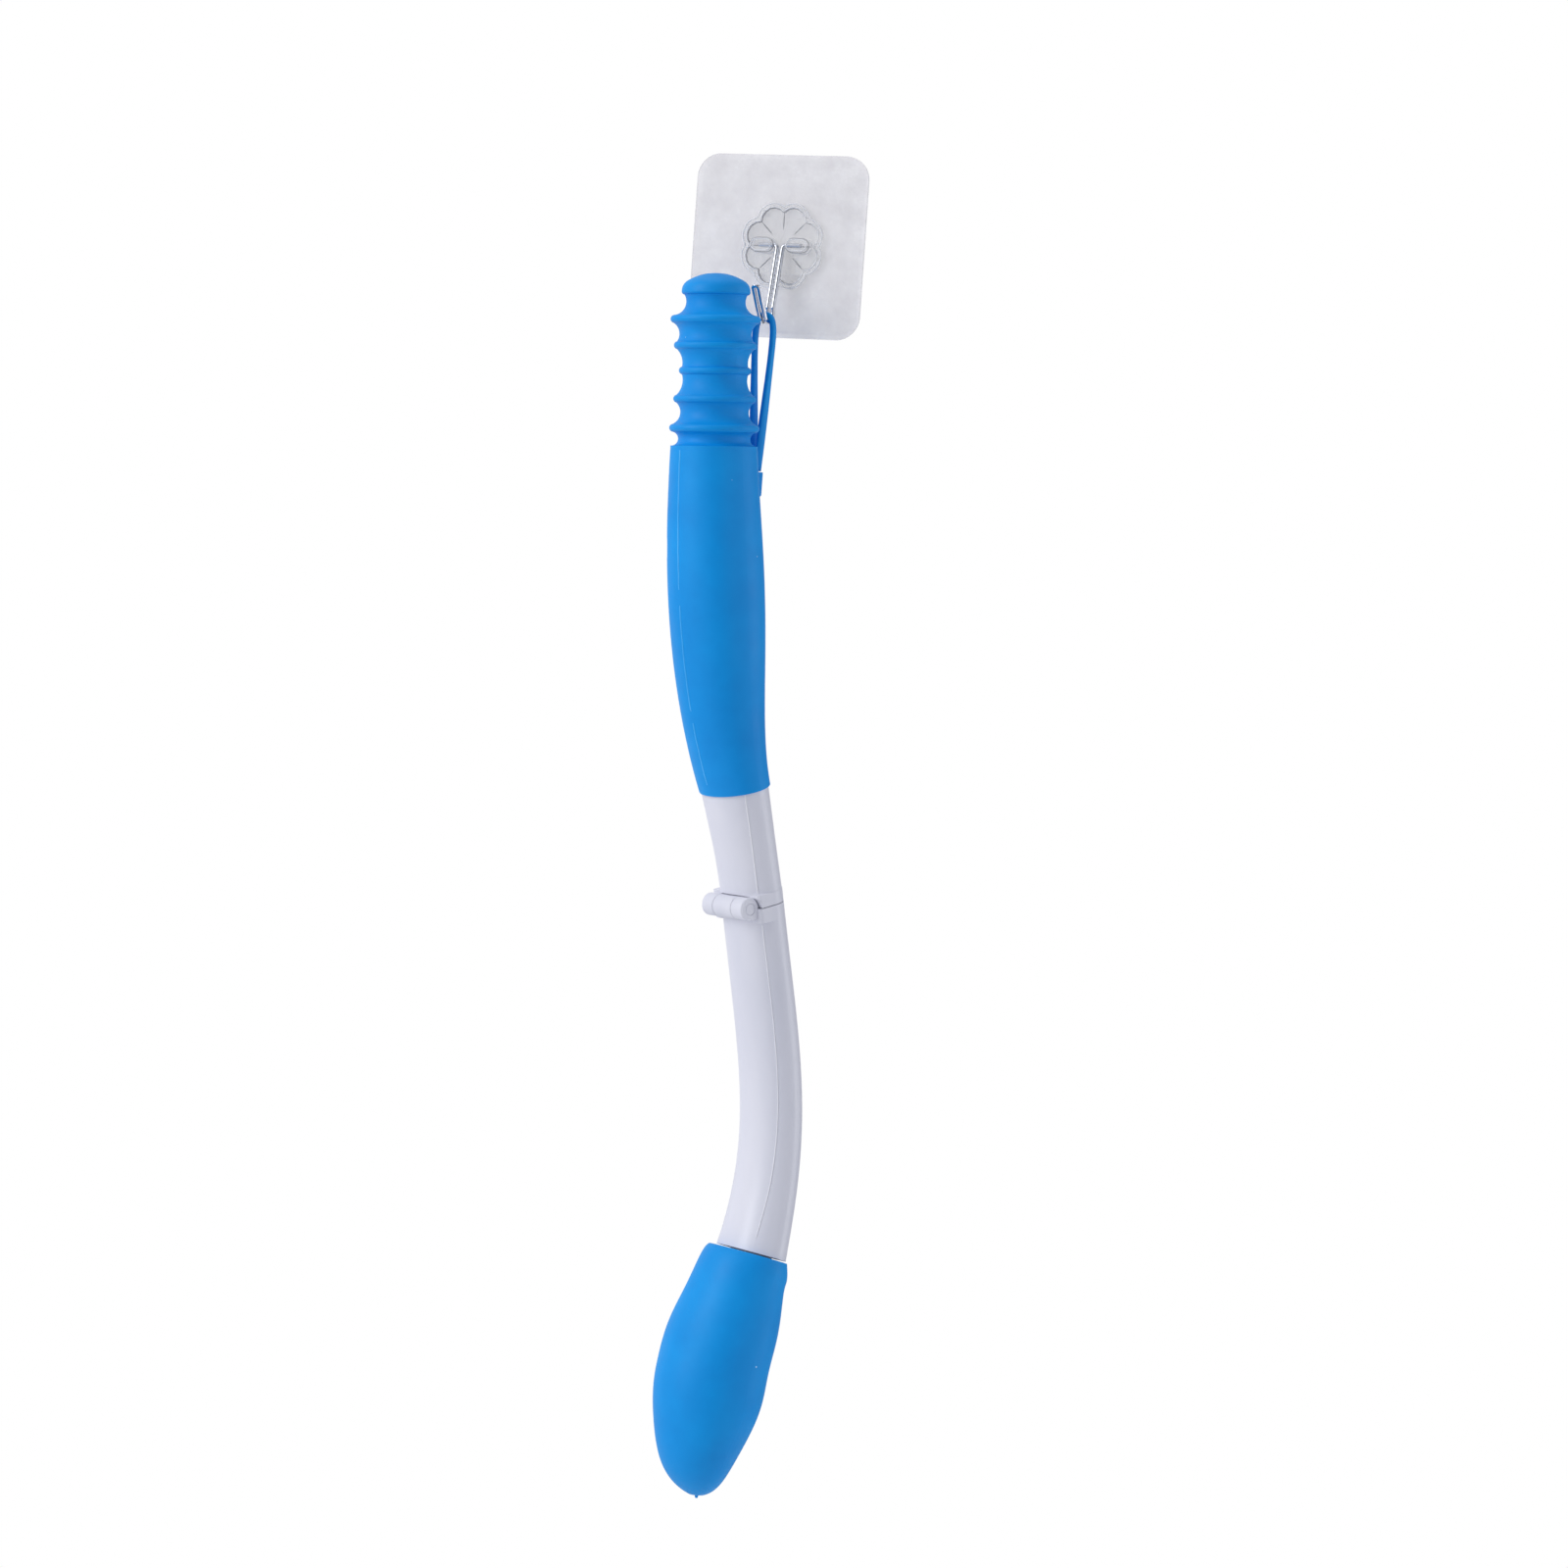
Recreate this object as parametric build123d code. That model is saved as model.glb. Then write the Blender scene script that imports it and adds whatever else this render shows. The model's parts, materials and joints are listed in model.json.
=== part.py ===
"""Folding long-reach wiping aid, hanging by its strap loop from a clear adhesive wall hook.

Row frame: millimetres, origin on the hook plate's back face, +Y into the wall, +Z up. The aid
is drawn in a frame of its own (X across, Y towards its back, Z along its length, origin at the
hinge seam), then hung by one placement so that its centre of mass is under its strap lug.
"""
import math
import os

from build123d import *

# ---- hook plate -------------------------------------------------------------------------------
PLATE_SIDE = 60.0
PLATE_THICK = 1.2
PLATE_CORNER_R = 8.0
FILM_THICK = 0.3
FILM_MARGIN = 1.5
BOSS_THICK = 1.0
PETALS = 8
BOSS_X = 2.0             # the boss sits a little off the plate's middle
PETAL_CENTRE_R = 8.7     # circle that the petals are centred on
PETAL_R = 6.0
RIM_WIDTH = 1.5
RIM_HEIGHT = 0.7
EAR_LENGTH = 8.0
EAR_HEIGHT = 4.6
EAR_DEPTH = 4.0
EAR_INNER_X = 2.2

# ---- wire hook ----------------------------------------------------------------------------------
WIRE_R = 0.75
WIRE_SPREAD = 0.95       # half the distance between the two wires
WIRE_DROP = 26.0         # from the ears' axis to the lowest point of the bend
SHANK_LEAN = 13.0        # degrees that the shanks stand off the plate
BEND_R = 4.0
TIP_RUN = 11.0
TIP_RISE = 50.0          # degrees above level
LEG_IN_EAR = 5.0
CORNER_R = 1.25          # where the wire turns out of the ear
PIVOT_CLEARANCE = 0.06

# ---- strap --------------------------------------------------------------------------------------
STRAP_D = 2.0
STRAP_GAP = 0.45         # strap to wire
STRAP_STRAIGHT = 15.0    # where the strand takes its slight turn, below the bend
STRAP_HANG = 49.0        # from the wire's bend to the top of the lug
STRAP_END_SPREAD = 1.45  # half the distance between the two strands at the lug
LUG_GAP = 0.4

# ---- aid: middle line, in the aid's own frame ------------------------------------------------
SHOULDER = (-30.6, 147.2)        # (y, z) where the ribbed tip meets the sleeve
GRIP_MIDDLE = (-25.6, 104.0)
GRIP_LOW = (-17.0, 56.0)
SLEEVE_END = (-11.5, 38.3)
ELBOW = (10.2, -42.0)
KNEE = (15.2, -84.0)
MOUTH = (10.4, -116.3)
HINGE_SLOPE = -0.24              # dy/dz of the middle line at the hinge
MOUTH_SLOPE = 0.27               # dy/dz where the arm ends

# ---- aid: sections --------------------------------------------------------------------------------
ARM_A = 12.0             # half width of the arm across
ARM_B = 8.9              # half depth
ARM_WALL = 2.0
ARM_TOP_A = 12.9
ARM_TOP_B = 9.8
ARM_END_A = 13.9         # the lower arm flares towards the head
ARM_END_B = 10.1
GRIP_A = 16.1
GRIP_B = 15.5
SHOULDER_R = 14.15
SLEEVE_LIP = 0.65        # how far the sleeve's lower lip stands out of the arm
PARTING_SHARE = 0.56     # parting line's distance in front of the middle, in half depths
PARTING_END = 0.75       # and the same where the lower arm ends
FIT = 0.25               # gap between pieces that plug into each other

# ---- aid: ribbed tip ----------------------------------------------------------------------------
TIP_LENGTH = 57.0
TIP_LEAN = -0.077        # dy/dz of the tip's axis
CAP_R = 11.1
CAP_HEIGHT = 6.1         # from the widest ring up to the crown
NECK_R = 9.7
RIB_RADII = (14.6, 13.4, 11.7, 13.4, 14.6)     # from the shoulder upwards
RIB_HEIGHTS = (7.1, 16.5, 25.6, 33.7, 42.1)    # above the shoulder
VALLEY_RADII = (11.7, 11.1, 10.6, 10.8, 11.7)  # below each rib
RIB_TIP_R = 1.25
RIB_FLANK = 1.0
SHOULDER_EDGE = 1.4
CAP_UNDERCUT = 0.9
SPIGOT_R = 6.5
SPIGOT_LENGTH = 44.0
SPIGOT_PLUG = 24.0
PLUG_SLACK = 1.2         # the round plug is smaller than the oval bore it enters

# ---- aid: hinge -----------------------------------------------------------------------------------
HINGE_RAISE = 1.0        # seam above the middle line's origin
BARREL_R = 3.75
BARREL_HALF = 10.4
BARREL_FORWARD = 9.7     # pin axis in front of the middle line
BARREL_RISE = 0.4        # pin axis above the seam
PIN_R = 1.25
PIN_HALF = 9.0           # half the pin's length, short of the barrel's closed ends
PIN_CLEARANCE = 0.05
PIN_CAP_R = 2.0          # disc that closes the pin's bore at one end
KNUCKLE_GAP = 0.2
MIDDLE_KNUCKLE = 9.0
SADDLE_GAP = 0.3
UPPER_BLOCK = 4.4        # visible height of the upper block
BLOCK_FRONT = 7.0        # squared front corners of the blocks, in front of the middle line
BLOCK_DOWN = 5.0         # visible height of the lower block
SEAM_GAP = 0.3
BLOCK_SPIGOT = 14.0
TONGUE_WIDTH = 9.0
TONGUE_THICK = 2.2
TONGUE_HEIGHT = 5.0
TONGUE_BACK = 3.6        # tongue's middle behind the middle line
TONGUE_ROOM = 1.2

# ---- aid: head --------------------------------------------------------------------------------------
MOUTH_A = 15.0
MOUTH_B = 11.9
MOUTH_FORWARD = 1.1      # the head's lip stands further out in front than behind
HEAD_GAP = 0.6           # shadow gap between arm and head
CROWN_DROP = 6.0             # a fuller section just below the lip
CROWN_A = 16.3
CROWN_B = 14.3
CROWN_FORWARD = 1.6
HEAD_STATIONS = (        # (y, z, half depth) of level sections
    (4.4, -128.4, 15.9), (0.9, -139.6, 17.8), (-1.7, -149.4, 18.2), (-3.3, -157.8, 18.1),
    (-4.4, -168.2, 17.1), (-6.0, -178.7, 14.3), (-6.7, -187.0, 11.0), (-6.0, -193.2, 6.8),
    (-5.7, -196.0, 2.8))
HEAD_WIDER = 1.065         # half width over half depth
NUB_R = 1.2
NUB_HEIGHT = 1.4
NECK_A = 8.2
NECK_B = 6.2
NECK_IN_ARM = 20.0
CORE_TO_TIP = 24.0

# ---- aid: strap lug -------------------------------------------------------------------------------
LUG_WIDTH = 5.8
LUG_DEPTH = 3.2
LUG_HEIGHT = 8.5
LUG_BELOW_SHOULDER = 5.5
LUG_OUT = 17.5           # strap's line behind the middle line, at the lug

# ---- how the aid hangs ---------------------------------------------------------------------------
TURN_ABOUT_PLUMB = -29.0
TWIST_RANGE = 40.0       # further turn that the strap allows
SOFT_DENSITY = 1.2e-3    # g per cubic millimetre
HARD_DENSITY = 1.1e-3
STEEL_DENSITY = 7.85e-3


# ---- shared lines of the aid ----------------------------------------------------------------------
def point(yz):
    """A point of the aid's middle plane from its (y, z)."""
    return Vector(0, yz[0], yz[1])


def upper_line():
    """Middle line from the hinge seam up to the shoulder."""
    return Spline(
        Vector(0, 0, 0), point(SLEEVE_END), point(GRIP_LOW), point(GRIP_MIDDLE), point(SHOULDER),
        tangents=[Vector(0, HINGE_SLOPE, 1), Vector(0, TIP_LEAN, 1)],
    )


def lower_line():
    """Middle line from the hinge seam down to the head's mouth."""
    return Spline(
        Vector(0, 0, 0), point(ELBOW), point(KNEE), point(MOUTH),
        tangents=[Vector(0, -HINGE_SLOPE, -1), Vector(0, -MOUTH_SLOPE, -1)],
    )


def station(line, share):
    """A plane across the line at a share of its length, with its x axis along X."""
    place = line.position_at(share)
    return Plane(origin=place, x_dir=(1, 0, 0), z_dir=line.tangent_at(share))


def oval_loft(line, rows):
    """A smooth bar through oval sections: rows of (share of the line, half width, half depth)."""
    faces = [station(line, share) * Ellipse(a, b) for share, a, b in rows]
    return loft(faces)


UPPER_ROWS = ((0.0, ARM_A, ARM_B), (0.12, ARM_A, ARM_B), (0.27, ARM_TOP_A, ARM_TOP_B),
              (0.6, ARM_TOP_A, ARM_TOP_B), (0.93, ARM_TOP_B + 1, ARM_TOP_B))
LOWER_ROWS = ((0.0, ARM_A, ARM_B), (0.15, ARM_A, ARM_B), (0.35, ARM_A + 0.1, ARM_B),
              (0.7, ARM_A + 0.1, ARM_B), (0.87, ARM_A + 0.7, ARM_B + 0.4),
              (1.0, ARM_END_A, ARM_END_B))


def front_region(line, reach, depth, end_depth):
    """Everything in front of the parting surface that runs beside the line."""
    shares = [i / 6 for i in range(7)]
    edge = [station(line, s) for s in shares]
    depths = [depth + (end_depth - depth) * s ** 4 for s in shares]
    inner = [p.origin + front_of(line, s) * d for p, s, d in zip(edge, shares, depths)]
    outer = [p.origin + front_of(line, s) * reach for p, s in zip(edge, shares)]
    start, end = line.tangent_at(0) * -8, line.tangent_at(1) * 8
    inner = [inner[0] + start] + inner + [inner[-1] + end]
    outer = [outer[0] + start] + outer + [outer[-1] + end]
    boundary = Curve() + [Spline(*inner), Line(inner[-1], outer[-1]),
                          Polyline(*reversed(outer)), Line(outer[0], inner[0])]
    return extrude(make_face(boundary), amount=40, both=True, dir=(1, 0, 0))


def front_of(line, share):
    """Unit vector towards the aid's front face, square to the line."""
    tangent = line.tangent_at(share)
    across = Vector(1, 0, 0).cross(tangent).normalized()
    return across if across.Y < 0 else across * -1


def hinge_plane():
    """Plane of the hinge seam: x across, y towards the back, z up the arm."""
    seam = Vector(0, HINGE_SLOPE * HINGE_RAISE, HINGE_RAISE)
    return Plane(origin=seam, x_dir=(1, 0, 0), z_dir=Vector(0, HINGE_SLOPE, 1))


def cylinder_across(radius, x_low, x_high, y, z):
    """A cylinder along X from x_low to x_high, in the hinge plane's frame."""
    return Pos(x_low, y, z) * Rot(0, 90, 0) * Cylinder(
        radius, x_high - x_low, align=(Align.CENTER, Align.CENTER, Align.MIN))


def box_between(low, high):
    return Pos(*low) * Box(*(h - l for l, h in zip(low, high)), align=(Align.MIN,) * 3)


# ---- hook plate and wire hook ------------------------------------------------------------------
def make_plate():
    outline = RectangleRounded(PLATE_SIDE, PLATE_SIDE, PLATE_CORNER_R)
    face = Plane(origin=(0, -FILM_THICK, 0), x_dir=(1, 0, 0), z_dir=(0, -1, 0)) * outline
    return extrude(face, amount=PLATE_THICK)


def make_film():
    side = PLATE_SIDE - 2 * FILM_MARGIN
    outline = RectangleRounded(side, side, PLATE_CORNER_R - FILM_MARGIN)
    face = Plane(origin=(0, 0, 0), x_dir=(1, 0, 0), z_dir=(0, -1, 0)) * outline
    return extrude(face, amount=FILM_THICK)


def petal_outline(growth):
    """Flower outline: a ring of round petals about a disc."""
    flower = Circle(PETAL_CENTRE_R + growth)
    for place in PolarLocations(PETAL_CENTRE_R, PETALS, start_angle=180 / PETALS):
        flower += place * Circle(PETAL_R + growth)
    return flower


def pivot_y():
    return -(FILM_THICK + PLATE_THICK + BOSS_THICK + EAR_DEPTH / 2)


def make_boss():
    base = Plane(origin=(BOSS_X, -FILM_THICK - PLATE_THICK, 0), x_dir=(1, 0, 0), z_dir=(0, -1, 0))
    disc = extrude(base * petal_outline(0), amount=BOSS_THICK)
    top = base.offset(BOSS_THICK)
    rim = extrude(top * (petal_outline(0) - petal_outline(-RIM_WIDTH)), amount=RIM_HEIGHT)
    boss = disc + rim
    for side in (-1, 1):
        centre = side * (EAR_INNER_X + EAR_LENGTH / 2)
        ear = extrude(top * Pos(centre, 0, 0) * SlotOverall(EAR_LENGTH, EAR_HEIGHT),
                      amount=EAR_DEPTH)
        boss += fillet(ear.faces().sort_by(Axis.Y)[0].edges(), 0.8)
    bore = Pos(BOSS_X, pivot_y(), 0) * Rot(0, 90, 0) * Cylinder(
        WIRE_R + PIVOT_CLEARANCE, 2 * (EAR_INNER_X + LEG_IN_EAR + 0.4))
    return boss - bore


def bend_centre():
    """Centre of the hook's bottom bend, as (y, z): its lowest point is WIRE_DROP down."""
    lean = math.radians(SHANK_LEAN)
    z = -(WIRE_DROP - BEND_R)
    return pivot_y() + z * math.tan(lean) - BEND_R / math.cos(lean), z


def hook_bend_y():
    return bend_centre()[0]


def hook_path():
    """Half of the wire's middle line, from the ear to the crown of the tip."""
    x = WIRE_SPREAD
    lean, rise = math.radians(SHANK_LEAN), math.radians(TIP_RISE)
    down = Vector(0, -math.sin(lean), -math.cos(lean))
    tip_way = Vector(0, -math.cos(rise), math.sin(rise))
    centre = Vector(x, *bend_centre())
    bend = [centre + Vector(0, math.cos(a), -math.sin(a)) * BEND_R
            for a in (-lean, (math.pi / 2 + rise - lean) / 2, math.pi / 2 + rise)]
    pivot = Vector(0, pivot_y(), 0)
    ear_end = pivot + Vector(EAR_INNER_X + LEG_IN_EAR, 0, 0)
    flare = pivot + Vector(x + CORNER_R, 0, 0)
    drop = pivot + Vector(x, 0, 0) + down * CORNER_R
    corner_centre = pivot + Vector(x + CORNER_R, 0, 0) + down * CORNER_R
    corner_mid = corner_centre + (Vector(-1, 0, 0) - down) * (CORNER_R * math.sqrt(0.5))
    tip_end = bend[2] + tip_way * TIP_RUN
    crown = tip_end + tip_way * x - Vector(x, 0, 0)
    crown_mid = tip_end - Vector(x, 0, 0) + (tip_way + Vector(1, 0, 0)) * (x * math.sqrt(0.5))
    return [Line(ear_end, flare), ThreePointArc(flare, corner_mid, drop), Line(drop, bend[0]),
            ThreePointArc(*bend), Line(bend[2], tip_end), ThreePointArc(tip_end, crown_mid, crown)]


def make_wire_hook():
    half = Wire(hook_path())
    start = Plane(origin=half @ 0, z_dir=half % 0)
    wire = sweep(start * Circle(WIRE_R), path=half)
    return Pos(BOSS_X, 0, 0) * (wire + mirror(wire, Plane.YZ))


# ---- strap ------------------------------------------------------------------------------------------
def strap_points():
    """Route of the strap's middle line: up one strand, over the wire's bend, down the other."""
    out = WIRE_SPREAD + WIRE_R + STRAP_GAP + STRAP_D / 2
    y = hook_bend_y()
    top = -WIRE_DROP + WIRE_R + 1.7 * STRAP_GAP + STRAP_D / 2
    turn = math.radians(TURN_ABOUT_PLUMB - TWIST_RANGE / 2)
    end = STRAP_END_SPREAD * Vector(math.cos(turn), math.sin(turn), 0)
    left = [Vector(-end.X, y - end.Y, lug_top() + LUG_GAP),
            Vector(-out + 0.15, y, top - STRAP_STRAIGHT),
            Vector(-out, y, top)]
    right = [Vector(-p.X, 2 * y - p.Y, p.Z) for p in reversed(left)]
    return [p + Vector(BOSS_X, 0, 0) for p in left + right]


def lug_top():
    return -WIRE_DROP - STRAP_HANG


def make_strap():
    points = strap_points()
    radii = []
    for before, here, after in zip(points, points[1:], points[2:]):
        turn = (here - before).get_angle(after - here)
        run = min((here - before).length, (after - here).length)
        radii.append(0.45 * run / math.tan(math.radians(turn / 2)))
    print("strap radii", [round(r, 1) for r in radii])
    path = FilletPolyline(*points, radius=radii)
    start = Plane(origin=path @ 0, z_dir=path % 0)
    tube = sweep(start * Circle(STRAP_D / 2), path=path)
    print("strap length %.1f, volume ratio %.4f" % (
        path.length, tube.volume / (math.pi * STRAP_D ** 2 / 4 * path.length)))
    return tube


# ---- aid: grip end -------------------------------------------------------------------------------
def tip_plane():
    """Plane of the shoulder: z up the ribbed tip's straight axis."""
    return Plane(origin=point(SHOULDER), x_dir=(1, 0, 0), z_dir=Vector(0, TIP_LEAN, 1))


def tip_profile():
    """Outline of the ribbed tip as arcs: shoulder, ribs with round valleys, neck, cap."""
    corners = []
    for radius, height in zip(RIB_RADII, RIB_HEIGHTS):
        corners.append([Vector(radius - RIB_FLANK, 0, height + dz)
                        for dz in (-RIB_TIP_R, RIB_TIP_R)] + [Vector(radius, 0, height)])
    shoulder = Vector(SHOULDER_R, 0, SHOULDER_EDGE)
    cap_edge = Vector(CAP_R, 0, TIP_LENGTH - CAP_HEIGHT)
    crown = Vector(0, 0, TIP_LENGTH)
    edges = [Line(Vector(0, 0, 0), Vector(SHOULDER_R, 0, 0)), Line(Vector(SHOULDER_R, 0, 0), shoulder)]
    last = shoulder
    for (low, high, crest), radius in zip(corners, VALLEY_RADII):
        floor = Vector(radius, 0, (last.Z + low.Z) / 2)
        edges += [ThreePointArc(last, floor, low), ThreePointArc(low, crest, high)]
        last = high
    under_cap = cap_edge - Vector(CAP_UNDERCUT, 0, CAP_UNDERCUT)
    neck = Vector(NECK_R, 0, (last.Z + under_cap.Z) / 2)
    dome = Vector(CAP_R * math.sqrt(0.5), 0, cap_edge.Z + CAP_HEIGHT * math.sqrt(0.5))
    edges += [ThreePointArc(last, neck, under_cap),
              ThreePointArc(under_cap, cap_edge - Vector(CAP_UNDERCUT * 0.3, 0, CAP_UNDERCUT * 0.7),
                            cap_edge),
              Spline(cap_edge, dome, crown, tangents=[Vector(0, 0, 1), Vector(-1, 0, 0)]),
              Line(crown, Vector(0, 0, 0))]
    return edges


def make_ribbed_tip():
    body = revolve(make_face(Curve() + tip_profile()), axis=Axis.Z)
    return tip_plane() * (body - tip_bore())


def tip_bore():
    """Room for the spigot inside the soft tip, in the tip's frame."""
    peg = Cylinder(SPIGOT_R, SPIGOT_LENGTH, align=(Align.CENTER, Align.CENTER, Align.MIN))
    return fillet(peg.edges().sort_by(Axis.Z)[-1], SPIGOT_R * 0.6)


def make_tip_spigot():
    """Peg that carries the soft tip, with a plug that fills the top of the arm."""
    line = upper_line()
    rows = []
    for part in (1.0, 0.5, 0.0):
        share = 1 - SPIGOT_PLUG * part / line.length
        radius = size_at(UPPER_ROWS, share)[1] - ARM_WALL - FIT - PLUG_SLACK
        rows.append((share, radius, radius))
    return tip_plane() * tip_bore() + oval_loft(line, rows)


def make_sleeve():
    line = upper_line()
    low = share_at(line, SLEEVE_END[1])
    a_low, b_low = size_at(UPPER_ROWS, low)
    rows = ((low, a_low + SLEEVE_LIP, b_low + SLEEVE_LIP),
            (low + (1 - low) * 0.28, GRIP_A * 0.93, GRIP_B * 0.88),
            (low + (1 - low) * 0.55, GRIP_A, GRIP_B),
            (low + (1 - low) * 0.8, GRIP_A * 0.96, GRIP_B * 0.975),
            (1.0, SHOULDER_R + 0.05, SHOULDER_R + 0.05))
    return oval_loft(line, rows) - oval_loft(line, UPPER_ROWS) - make_tip_spigot() - lug_block()


def share_at(line, height):
    """Share of the line's length at a height."""
    low, high = 0.0, 1.0
    for _ in range(40):
        middle = (low + high) / 2
        below = (line @ middle).Z < height if (line @ 1).Z > 0 else (line @ middle).Z > height
        low, high = (middle, high) if below else (low, middle)
    return (low + high) / 2


def size_at(rows, share):
    """Half width and half depth at a share, between the rows either side."""
    for (s0, a0, b0), (s1, a1, b1) in zip(rows, rows[1:]):
        if share <= s1:
            part = (share - s0) / (s1 - s0)
            return a0 + (a1 - a0) * part, b0 + (b1 - b0) * part
    return rows[-1][1:]


# ---- aid: arms ------------------------------------------------------------------------------------
def arm_tube(line, rows):
    return oval_loft(line, rows) - oval_loft(line, [(s, a - ARM_WALL, b - ARM_WALL)
                                                     for s, a, b in rows])


def make_upper_shells():
    block = hinge_plane() * Pos(0, 0, -20) * Box(60, 60, 2 * (20 + UPPER_BLOCK))
    tube = arm_tube(upper_line(), UPPER_ROWS) - block
    depth = PARTING_SHARE * ARM_B
    front = front_region(upper_line(), 40, depth, depth)
    return tube & front, tube - front


def make_lower_shells():
    block = hinge_plane() * Pos(0, 0, 20) * Box(60, 60, 2 * (20 + BLOCK_DOWN))
    tube = arm_tube(lower_line(), LOWER_ROWS) - block
    front = front_region(lower_line(), 40, PARTING_SHARE * ARM_B, PARTING_END * ARM_END_B)
    return tube & front, tube - front


# ---- aid: hinge, in the hinge plane's frame ---------------------------------------------------
def barrel(radius, x_low, x_high):
    return cylinder_across(radius, x_low, x_high, -BARREL_FORWARD, BARREL_RISE)


def knuckle_room():
    """Space that the lower arm's knuckles turn in."""
    return barrel(BARREL_R + SADDLE_GAP, -ARM_A - 1, ARM_A + 1)


def squared_bar(low, high):
    """The blocks' section: the arm's oval with squared front corners."""
    corner = box_between((-ARM_A, -BLOCK_FRONT, low), (ARM_A, 0, high))
    corner = fillet(corner.edges().filter_by(Axis.Z).group_by(Axis.Y)[0], 1.5)
    return Pos(0, 0, low) * extrude(Ellipse(ARM_A, ARM_B), amount=high - low) + corner


def make_upper_block():
    half = MIDDLE_KNUCKLE / 2
    body = squared_bar(SEAM_GAP / 2, UPPER_BLOCK) - knuckle_room()
    neck = box_between((-half, -BARREL_FORWARD, BARREL_RISE), (half, -ARM_B + 4, UPPER_BLOCK - 0.6))
    body += neck + barrel(BARREL_R, -half, half)
    body -= barrel(PIN_R, -half - 1, half + 1)
    body = hinge_plane() * body + arm_plug(upper_line(), UPPER_BLOCK + HINGE_RAISE - 0.5)
    return body - hinge_plane() * tongue_room()


def arm_plug(line, start):
    """The part of a hinge block that plugs into the arm's shells, along the arm's line."""
    shares = [(start + BLOCK_SPIGOT * i / 2) / line.length for i in range(3)]
    return oval_loft(line, [(s, ARM_A - ARM_WALL - FIT, ARM_B - ARM_WALL - FIT) for s in shares])


def tongue_box(room, low, high):
    half = TONGUE_WIDTH / 2 + room
    return box_between((-half, TONGUE_BACK - TONGUE_THICK / 2 - room, low),
                       (half, TONGUE_BACK + TONGUE_THICK / 2 + room, high))


def tongue_room():
    return tongue_box(TONGUE_ROOM, -1, TONGUE_HEIGHT + 1.5)


def make_lock_tongue():
    tongue = tongue_box(0, -BLOCK_DOWN - 4, TONGUE_HEIGHT)
    tip = tongue.faces().sort_by(Axis.Z)[-1].edges()
    return hinge_plane() * chamfer(tip, 0.7)


def make_lower_block():
    half = MIDDLE_KNUCKLE / 2 + KNUCKLE_GAP
    body = squared_bar(-BLOCK_DOWN, -SEAM_GAP / 2)
    floor = BARREL_RISE - BARREL_R
    for side in (-1, 1):
        low, high = sorted((side * half, side * BARREL_HALF))
        knuckle = barrel(BARREL_R, low, high)
        outer = knuckle.faces().sort_by(Axis.X)[-1 if side > 0 else 0]
        body += chamfer(outer.edges(), 0.5)
        body += box_between((low, -BARREL_FORWARD, floor), (high, -BLOCK_FRONT + 2, -SEAM_GAP / 2))
    body -= barrel(BARREL_R + SADDLE_GAP, -half, half)
    body -= barrel(PIN_R + PIN_CLEARANCE, -PIN_HALF - 0.3, PIN_HALF + 0.3)
    body -= barrel(PIN_CAP_R, PIN_HALF + 0.3, BARREL_HALF + 1)
    body = hinge_plane() * body + arm_plug(lower_line(), BLOCK_DOWN - HINGE_RAISE - 0.5)
    return body - hinge_plane() * tongue_box(0, -BLOCK_DOWN - 4, 1)


def make_hinge_pin():
    pin = barrel(PIN_R, -PIN_HALF, PIN_HALF)
    return hinge_plane() * chamfer(pin.edges(), 0.25)


def make_pin_cap():
    cap = barrel(PIN_CAP_R, PIN_HALF + 0.3, BARREL_HALF)
    outer = cap.faces().sort_by(Axis.X)[-1].edges()
    return hinge_plane() * chamfer(outer, 0.25)


# ---- aid: head ------------------------------------------------------------------------------------
def head_faces():
    mouth = station(lower_line(), 1.0).offset(HEAD_GAP)
    faces = [mouth * Pos(0, MOUTH_FORWARD, 0) * Ellipse(MOUTH_A, MOUTH_B),
             mouth.offset(CROWN_DROP) * Pos(0, CROWN_FORWARD, 0) * Ellipse(CROWN_A, CROWN_B)]
    for y, z, depth in HEAD_STATIONS:
        level = Plane(origin=(0, y, z), x_dir=(1, 0, 0), z_dir=(0, 0, -1))
        faces.append(level * Ellipse(depth * HEAD_WIDER, depth))
    return faces


def head_core():
    """Oval peg on the middle line that the soft head is pushed onto."""
    mouth = station(lower_line(), 1.0)
    low = point(HEAD_STATIONS[-1][:2]) + Vector(0, 0, CORE_TO_TIP)
    middle = point(HEAD_STATIONS[1][:2])
    line = Spline(mouth.origin - mouth.z_dir * NECK_IN_ARM * 0.3, mouth.origin, middle, low)
    faces = [station(line, s) * Ellipse(NECK_A * k, NECK_B * k)
             for s, k in ((0, 1.0), (0.3, 1.0), (0.6, 1.05), (0.85, 0.95), (1.0, 0.6))]
    return loft(faces)


def make_head():
    body = loft(head_faces())
    tip = HEAD_STATIONS[-1]
    nub = Pos(0, tip[0], tip[1] - NUB_HEIGHT) * Cone(
        NUB_R * 0.35, NUB_R, NUB_HEIGHT + 1.5, align=(Align.CENTER, Align.CENTER, Align.MIN))
    return body + nub - head_core()


def make_neck():
    """Head spigot: the oval peg and the plug that fixes it in the arm's end."""
    line = lower_line()
    start = 1 - NECK_IN_ARM / line.length
    plug = oval_loft(line, [(start + (1 - start) * part, ARM_A - ARM_WALL - FIT,
                             ARM_B - ARM_WALL - FIT) for part in (0, 0.45, 0.9)])
    return plug + head_core()


# ---- aid: strap lug ---------------------------------------------------------------------------------
def lug_centre():
    """Top of the lug, on the strap's line, in the aid's frame."""
    line = upper_line()
    height = SHOULDER[1] - LUG_BELOW_SHOULDER
    middle = line @ share_at(line, height)
    return Vector(0, middle.Y + LUG_OUT, height)


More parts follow.
